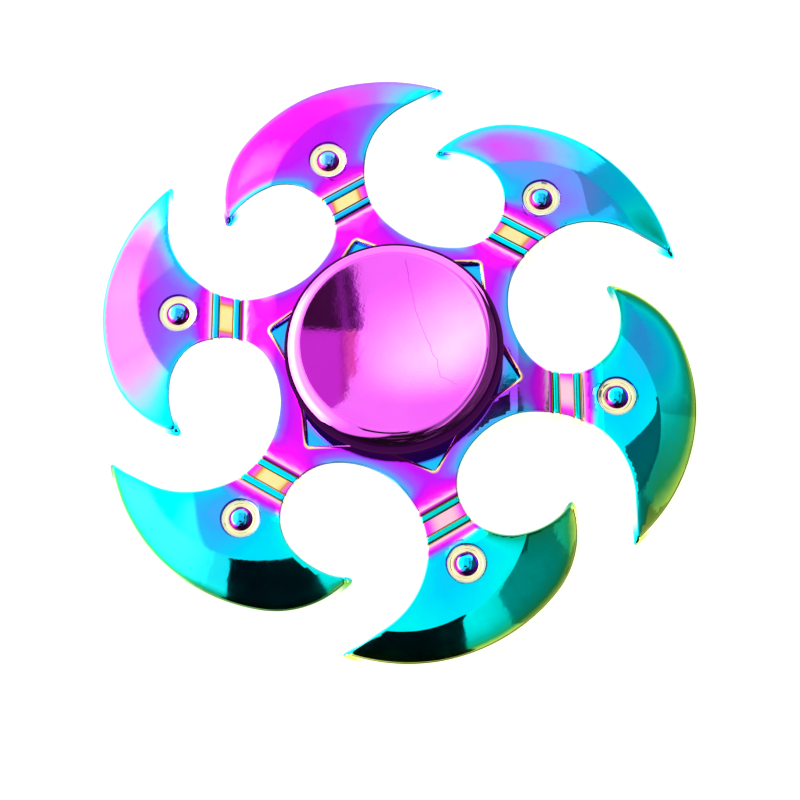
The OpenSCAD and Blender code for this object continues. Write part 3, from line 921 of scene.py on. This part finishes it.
# ------------------------ pieces
def add_mesh(name, points, faces, material):
    """A mesh object from points in metres."""
    mesh = bpy.data.meshes.new(name)
    mesh.from_pydata([tuple(map(float, p)) for p in points], [], faces)
    mesh.materials.append(material)
    obj = bpy.data.objects.new(name, mesh)
    bpy.context.scene.collection.objects.link(obj)
    return obj


def make_object(name, points, faces, material, sharp=38):
    """A smooth mesh object from points in millimetres, with edges sharper than this angle kept."""
    obj = add_mesh(name, points * MM, faces, material)
    obj.data.validate()
    obj.data.shade_smooth()
    obj.data.set_sharp_from_angle(angle=math.radians(sharp))
    return obj


def paint(obj, name, values):
    """A value at each point of the mesh, for its material to read."""
    attribute = obj.data.attributes.new(name, "FLOAT", "POINT")
    attribute.data.foreach_set("value", np.asarray(values, np.float32))


def merge(points, faces, tolerance=1e-4):
    """Joins points that share a place; returns the kept points, the new faces and the kept ids."""
    keys = np.round(points / tolerance).astype(np.int64)
    _, first, inverse = np.unique(keys, axis=0, return_index=True, return_inverse=True)
    inverse = inverse.reshape(-1)
    out = []
    for f in faces:
        g = [int(inverse[i]) for i in f]
        g = [i for j, i in enumerate(g) if i != g[j - 1]]
        if len(g) > 2 and len(set(g)) == len(g):
            out.append(g)
    return points[first], out, first


def make_frame():
    """The six arms as one casting, each point with its film and its painted highlight or shade."""
    points, faces, on_wall = arm_mesh()
    # Distance to the parting line, and the part of the outline that is nearest
    gap, part = closest(ring(0), points)
    all_faces, arms = [], []
    for k in range(BLADES):
        q = points.copy()
        q[:, :2] = turned(points[:, :2], -k * STEP)
        all_faces += [[i + k * len(points) for i in f] for f in faces]
        arms.append((q, *film_of(k, points, gap, part, on_wall)))
    all_points, film, tone = (np.concatenate(a) for a in zip(*arms))
    kept, new_faces, first = merge(all_points, all_faces)
    obj = make_object("frame_casting", kept, new_faces, MATERIALS["plated_frame"])
    paint(obj, "film", np.clip(film[first], 0, 1))
    paint(obj, "tone", tone[first])
    # The crease where a neck's slope meets the cheek is crisp
    off_eye = np.hypot(points[:, 0], points[:, 1] - EYE_R) > EYE_EDGE - 0.01
    crisp = off_eye & (np.abs(neck_v(points[:, :2]) - FOOT_OFF - BLADE_SLOPE) < 2e-3)
    crisp = np.tile(crisp, BLADES)[first]
    for e in obj.data.edges:
        if crisp[e.vertices[0]] and crisp[e.vertices[1]]:
            e.use_edge_sharp = True
    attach(obj, "rotor")
    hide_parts("frame")
    return obj


def revolve(profile, centre=(0, 0), segments=96):
    """Points and faces of a profile of (radius, height) turned about a vertical axis."""
    points, faces, rings = [], [], []
    for r, z in profile:
        count = 1 if r < 1e-6 else segments
        rings.append([len(points) + i for i in range(count)])
        for i in range(count):
            a = 2 * math.pi * i / segments
            points.append((centre[0] + r * math.cos(a), centre[1] + r * math.sin(a), z))
    for a, b in zip(rings[:-1], rings[1:]):
        for i in range(segments):
            j = (i + 1) % segments
            if len(a) == 1:
                faces.append([b[i], b[j], a[0]])
            elif len(b) == 1:
                faces.append([b[0], a[j], a[i]])
            else:
                faces.append([b[i], b[j], a[j], a[i]])
    return np.array(points), faces


def rounded(points, radii, steps=5):
    """A profile with each inner corner rounded by its radius."""
    out = [points[0]]
    for a, b, c, r in zip(points[:-2], points[1:-1], points[2:], radii[1:-1]):
        a, b, c = np.array(a), np.array(b), np.array(c)
        u, w = (a - b) / np.hypot(*(a - b)), (c - b) / np.hypot(*(c - b))
        half = math.acos(max(-1, min(1, float(u @ w)))) / 2
        if r == 0 or half > math.radians(89):
            out.append(tuple(b))
            continue
        t = r / math.tan(half)
        centre = b + (u + w) / np.hypot(*(u + w)) * r / math.sin(half)
        p0, p1 = b + u * t, b + w * t
        a0 = math.atan2(*(p0 - centre)[::-1])
        a1 = math.atan2(*(p1 - centre)[::-1])
        turn = (a1 - a0 + math.pi) % (2 * math.pi) - math.pi
        for i in range(steps + 1):
            q = a0 + turn * i / steps
            out.append(tuple(centre + r * np.array([math.cos(q), math.sin(q)])))
    out.append(points[-1])
    return out


EYE_FILM = [0.58, 0.65, 0.68, 0.68, 0.66, 0.60]
# Height of a pin's edge, and of the end of its shank inside the head
PIN_EDGE, PIN_SHANK = 2.42, 2.1


def make_eyes():
    """A domed pin in each blade, with a head on both faces."""
    crown = EYE_TOP - 0.02
    rise = crown - PIN_EDGE
    ball = (PIN_R**2 + rise**2) / (2 * rise)
    angles = math.asin(PIN_R / ball) * spread(13)
    top = [(ball * math.sin(a), crown - ball * (1 - math.cos(a))) for a in angles]
    profile = top + [(PIN_R, PIN_SHANK), (PIN_R, -PIN_SHANK)] + [(r, -z) for r, z in reversed(top)]
    for k in range(1, BLADES + 1):
        centre = turned(EYE_C, -(k - 1) * STEP)
        points, faces = revolve(profile, centre=tuple(centre), segments=64)
        obj = make_object(f"eye_pin_{k}", points, faces, MATERIALS["eye_mirror"])
        r = np.hypot(*(points[:, :2] - centre).T) / PIN_R
        hue = EYE_FILM[k - 1]
        paint(obj, "film", np.interp(r, [0, 0.7, 0.9, 1], [hue, hue - 0.04, 0.36, 0.28]))
        # Painted shade round the edge of the dome
        paint(obj, "tone", np.interp(r, [0, 0.92, 1], [0, 0, -0.7]))
        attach(obj, "rotor")
        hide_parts(f"eye_rivet_{k}")


# Caps, in millimetres; the dish is a shallow bowl
CAP_LOW = HUB_HALF + 1.3
DISH_R, DISH_DEPTH = 11.35, 1.3
CAP_SHOULDER_R, STEM_R, STUD_R = 5.6, 4.0, 2.5
# Ends of the stem and of the stud below the middle plane, and the bottom of the stem's hole
STEM_END, STUD_END, HOLE_TOP = -3.2, -2.3, 2.9
# The rim starts at a slant beside the dish and rounds over into the side
RIM_FROM, RIM_A, RIM_DIP = 11.55, math.radians(17), 0.02
RIM_R = (CAP_R - RIM_FROM) / (1 - math.sin(RIM_A))
RIM_DROP = RIM_R * math.cos(RIM_A) + RIM_DIP
BEARING_HALF = 3.5


def cap_profile(lower):
    """Outside of a cap from the middle of its dish to its end inside the bearing."""
    ball = (DISH_R**2 + DISH_DEPTH**2) / (2 * DISH_DEPTH)
    bottom = CAP_TOP - DISH_DEPTH
    angles = np.linspace(0, math.asin((DISH_R - 0.35) / ball), 28)
    dish = [(ball * math.sin(a), bottom + ball * (1 - math.cos(a))) for a in angles]
    corners = [
        dish[-1],
        (DISH_R, CAP_TOP),
        (RIM_FROM, CAP_TOP - RIM_DIP),
        (CAP_R, CAP_TOP - RIM_DROP),
        (CAP_R, CAP_LOW),
        (CAP_SHOULDER_R, CAP_LOW),
        (CAP_SHOULDER_R, BEARING_HALF),
    ]
    end = [(STEM_R, BEARING_HALF), (STEM_R, STEM_END)]
    end += [(STUD_R, STEM_END), (STUD_R, HOLE_TOP), (0, HOLE_TOP)]
    if lower:
        end = [(STUD_R, BEARING_HALF), (STUD_R, STUD_END), (0, STUD_END)]
    outline = rounded(corners, [0, 0.12, 0, 0, 0.35, 0.2, 0], 8)
    place = next(i for i, q in enumerate(outline) if abs(q[0] - RIM_FROM) < 1e-6) + 1
    centre_r, centre_z = RIM_FROM - RIM_R * math.sin(RIM_A), CAP_TOP - RIM_DROP
    angles = np.linspace(RIM_A, math.pi / 2, 26)[1:-1]
    rim = [(centre_r + RIM_R * math.sin(a), centre_z + RIM_R * math.cos(a)) for a in angles]
    return dish[:-1] + outline[:place] + rim + outline[place:] + end


def make_caps():
    """The two finger caps, the lower one upside down."""
    for name, lower in (("top_cap", False), ("bottom_cap", True)):
        points, faces = revolve(cap_profile(lower), segments=192)
        if lower:
            points = points * np.array([1, 1, -1])
            faces = [f[::-1] for f in faces]
        obj = make_object(name + "_shell", points, faces, MATERIALS["plated_cap"])
        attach(obj, "hub")
        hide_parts(name)


BEARING_LOOKS = {
    "bearing_steel": ("outer_race", "inner_race"),
    "ball_steel": [f"ball_{k}" for k in range(1, 8)],
    "cage_steel": ("cage_upper", "cage_lower", "cage_rivets"),
    "shield_steel": ("shield_upper", "shield_lower"),
    "spring_steel": ("snap_ring_upper", "snap_ring_lower"),
}


def paint_bearing():
    """Better materials on the bearing's CAD nodes."""
    for look, nodes in BEARING_LOOKS.items():
        for node in nodes:
            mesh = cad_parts[node].data
            mesh.materials.clear()
            mesh.materials.append(MATERIALS[look])


make_frame()
make_eyes()
make_caps()
paint_bearing()


# ------------------------ stage
# Directions and places of the stage are given as the camera sees the table: x to the right,
# y away, z up. The spinner lies turned on it by this angle.
TABLE_TURN = -18
FLOOR_HALF, FLOOR_WHITE, FLOOR_GLOW = 3.0, 0.5, 1.7


def from_table(p):
    """A place on the table, in millimetres above the blades' cheeks, in the row frame."""
    x, y = turned([p[0], p[1]], TABLE_TURN)
    return Vector((x, y, p[2] + CHEEK_HALF)) * MM


def make_floor():
    """The white table."""
    m = bpy.data.materials.new("floor_white")
    tree = Tree(m)
    white = (FLOOR_WHITE,) * 3 + (1,)
    inputs = {"Base Color": white, "Roughness": 0.8}
    inputs |= {"Emission Color": white, "Emission Strength": FLOOR_GLOW}
    tree.new("OutputMaterial", {"Surface": tree.new("BsdfPrincipled", inputs).outputs["BSDF"]})
    corners = [(x * FLOOR_HALF, y * FLOOR_HALF, FLOOR_Z * MM) for x, y in ((-1, -1), (1, -1), (1, 1), (-1, 1))]
    obj = add_mesh("floor", corners, [(0, 1, 2, 3)], m)


def sheet(name, corners, z, rgb, strength=1.0, one_sided=False):
    """A level card over the table with these corners; only reflections show it.

    Its strength is a number, or a function of its node tree.
    """
    m = bpy.data.materials.new(name)
    tree = Tree(m)
    level = strength(tree) if callable(strength) else strength
    glow = tree.new("Emission", {"Color": (*rgb, 1), "Strength": level}).outputs[0]
    if one_sided:
        back = tree.new("NewGeometry").outputs["Backfacing"]
        glow = tree.new("MixShader", (back, glow, tree.new("BsdfTransparent").outputs[0])).outputs[0]
    tree.new("OutputMaterial", {"Surface": glow})
    obj = add_mesh(name, [from_table((*c, z)) for c in corners], [tuple(range(len(corners)))], m)
    obj.visible_camera = False
    obj.visible_shadow = False
    obj.visible_diffuse = False


def card(name, x, y, z, rgb, strength=1.0):
    """A level card over the table, given by its ranges in x and y and its height."""
    sheet(name, [(x[0], y[0]), (x[1], y[0]), (x[1], y[1]), (x[0], y[1])], z, rgb, strength)


def soft_card(name, x, y, z, centre, reach, peak):
    """A level card of white that rises to a soft bright spot."""

    def strength(tree):
        coords = tree.new("TexCoord").outputs["Object"]
        away = tree.vector("DISTANCE", coords, from_table((*centre, z)))["Value"]
        return tree.remap(away, peak, 1, 0, reach * MM, interpolation_type="SMOOTHSTEP")

    card(name, x, y, z, (1, 1, 1), strength)


def deck(name, a0, a1, r, z, rgb, strength=1.0):
    """A sector of a level disc round the spin axis, seen only from above by what looks down on it."""
    rim = [tuple(polar(r, a)) for a in np.linspace(a0, a1, max(3, round((a1 - a0) / 10) + 1))]
    corners = rim if a1 - a0 >= 360 else [(0, 0), *rim]
    sheet(name, corners, z, rgb, strength, one_sided=True)


# The dim band over the horizon, as the sine of its height, and between which shares of the
# way round to the front and right it rises
HORIZON_AHEAD, AHEAD_FROM, AHEAD_TO = 0.84, -0.1, 0.53
LEFT_LEVEL, LEFT_FROM, LEFT_TO = 2.6, 0.58, 0.8
LEFT_BOX, BOX_TOP, LOW_TOP = 5.0, 0.42, 0.62
BACK_LOW, RIGHT_HAZE, HAZE, STREAKS = 0.9, 0.12, 0.012, 0.22


def make_world():
    """Soft white light from above, brightest low on the left; dim low down in front and right."""
    world = bpy.data.worlds.new("studio")
    bpy.context.scene.world = world
    tree = Tree(world)
    coords = tree.new("TexCoord").outputs["Generated"]

    def facing(direction):
        d = Vector(direction).normalized()
        x, y = turned([d.x, d.y], TABLE_TURN)
        return tree.vector("DOT_PRODUCT", coords, (x, y, d.z))["Value"]

    def step_up(value, at, half):
        """0 well below a level and 1 well above it."""
        return tree.remap(tree.calc("SUBTRACT", value, at), 0.0, 1.0, -half, half)

    def less(value):
        return tree.calc("SUBTRACT", 1.0, value)

    def times(*factors):
        out = factors[0]
        for factor in factors[1:]:
            out = tree.calc("MULTIPLY", out, factor)
        return out

    def towards(x, y):
        return tree.calc("DIVIDE", facing((x, y, 0)), level_part)

    up = facing((0, 0, 1))
    level_part = tree.calc("SQRT", tree.calc("MAXIMUM", less(times(up, up)), 1e-4))
    # Above the horizon band: white, brighter on the left and, low down, behind
    ahead = tree.remap(towards(0.8, -0.6), 0.0, 1.0, AHEAD_FROM, AHEAD_TO)
    bright = tree.remap(facing((-1, 0.15, 0.35)), 1.0, LEFT_LEVEL, LEFT_FROM, LEFT_TO)
    behind = times(step_up(towards(0, 1), 0.3, 0.3), less(step_up(up, LOW_TOP, 0.1)), BACK_LOW)
    level = times(tree.calc("ADD", bright, behind), step_up(up, times(ahead, HORIZON_AHEAD), 0.06))
    on_left, over_table = step_up(towards(-1, 0.07), 0.78, 0.08), step_up(up, 0.0, 0.02)
    box = times(on_left, over_table, less(step_up(up, BOX_TOP, 0.12)))
    level = tree.calc("ADD", level, times(box, LEFT_BOX))
    # In the band: almost black, a little lighter on the right, with a few streaks in front
    right = tree.calc("POWER", tree.calc("MAXIMUM", towards(1, 0.1), 0.0), 4.0)
    streak = tree.remap(tree.noise(3.2, 3, 0.6, (1, 1, 6), coords), 0, 1, 0.56, 0.66)
    haze = tree.calc("ADD", times(right, RIGHT_HAZE), HAZE)
    haze = tree.calc("ADD", haze, times(streak, ahead, STREAKS))
    light = {"Color": (1, 1, 1, 1), "Strength": tree.calc("MAXIMUM", level, haze)}
    tree.new("OutputWorld", {"Surface": tree.new("Background", light).outputs[0]})


# Cards high over the table: the camera and the hand that holds it, and the room on the right
CARD_Z = 208.0
CAMERA_BODY = [(-75, -128), (22, -128), (22, -96), (8, -80), (-75, -80)]
# What the cap's side looks down on: dark in front and on the right, light behind, white on
# the left, and a dark ring close by
DECK_Z, DECK_R, RING_R = 1.1, 2000, CAP_R + 9
# What the cap's dish mirrors: a window, and dark things beside it, each with its corners, how
# far under the window it hangs, and its colour
DISH_Z = 40.0
DISH_SHEETS = {
    "dish_dark": ([(-0.12, 8.9), (-0.45, 10.06), (-0.64, 11.74), (2.5, 12.45), (2.3, 8.9)], 0.1,
                  (0.045, 0.018, 0.04)),
    "dish_post": ([(0.17, 9.0), (-0.03, 9.0), (-0.2, 11.78), (0.06, 11.82)], 0.2, (0.22, 0.07, 0.27)),
    "dish_post_edge": ([(-0.26, 9.0), (-0.4, 9.2), (-0.64, 11.74), (-0.39, 11.76)], 0.2, (0.23, 0.04, 0.29)),
    "dish_dim": ([(0.0, 11.81), (0.1, 15.54), (0.25, 16.89), (1.05, 18.59), (2.89, 18.12), (2.4, 12.42)], 0.1,
                 (0.58, 0.14, 0.62)),
    "dish_seam": ([(0.1, 11.93), (-0.06, 11.9), (0.03, 15.79), (0.25, 16.89), (0.37, 16.72)], 0.2,
                  (0.43, 0.06, 0.36)),
    "dish_post_low": ([(-0.06, 11.85), (-0.42, 11.8), (-0.37, 14.41), (-0.16, 14.9), (0.0, 15.18)], 0.15,
                      (0.72, 0.3, 0.42)),
}

make_floor()
make_world()
sheet("camera_body", CAMERA_BODY, CARD_Z, (0.004, 0.004, 0.006))
card("right_shade", (98, 150), (-250, 40), CARD_Z, (0.36, 0.38, 0.40))
card("right_light", (150, 200), (-250, 40), CARD_Z, (0.85, 0.86, 0.88))
card("right_wall", (98, 200), (40, 260), CARD_Z, (0.58, 0.60, 0.62))
card("right_dark", (84, 132), (-20, 66), CARD_Z - 1, (0.12, 0.12, 0.13))
card("hand", (10, 26), (48, 64), CARD_Z - 1, (0.03, 0.02, 0.04))
deck("deck_dark", -138, 38, DECK_R, DECK_Z, (0.02, 0.012, 0.03))
deck("deck_back", 38, 140, DECK_R, DECK_Z, (1, 1, 1), 1.8)
deck("deck_left", 140, 222, DECK_R, DECK_Z, (1, 1, 1), 5.0)
deck("deck_ring", 0, 360, RING_R, DECK_Z + 0.02, (0.05, 0.02, 0.06))
soft_card("dish_window", (-10, 5), (6, 24), DISH_Z, (-3.95, 13.3), 4.6, 4.6)
for dish_name, (dish_corners, dish_drop, dish_rgb) in DISH_SHEETS.items():
    sheet(dish_name, dish_corners, DISH_Z - dish_drop, dish_rgb)


# ------------------------ camera
LENS, SENSOR = 80.48, 36.0
# Its right, up and backward directions, and how far it is moved along each from the table's
# middle, in millimetres
CAMERA_AXES = [(0.99923, 0.0, -0.0392), (0.01165, 0.95477, 0.29697), (0.0374, -0.2972, 0.954)]
CAMERA_OFF = (0.6795, -5.7558, 222.24)


def make_camera():
    """The photo's camera."""
    data = bpy.data.cameras.new("camera")
    data.lens, data.sensor_width, data.clip_start = LENS, SENSOR, 0.01
    obj = bpy.data.objects.new("camera", data)
    bpy.context.scene.collection.objects.link(obj)
    axes = [Vector(axis) for axis in CAMERA_AXES]
    place = sum((axis * off for axis, off in zip(axes, CAMERA_OFF)), Vector())
    turned_axes = [Vector((*turned([a.x, a.y], TABLE_TURN), a.z)).normalized() for a in axes]
    obj.matrix_world = Matrix.Translation(from_table(place)) @ Matrix(turned_axes).transposed().to_4x4()
    bpy.context.scene.camera = obj


make_camera()
bpy.context.scene.view_settings.view_transform = "Standard"
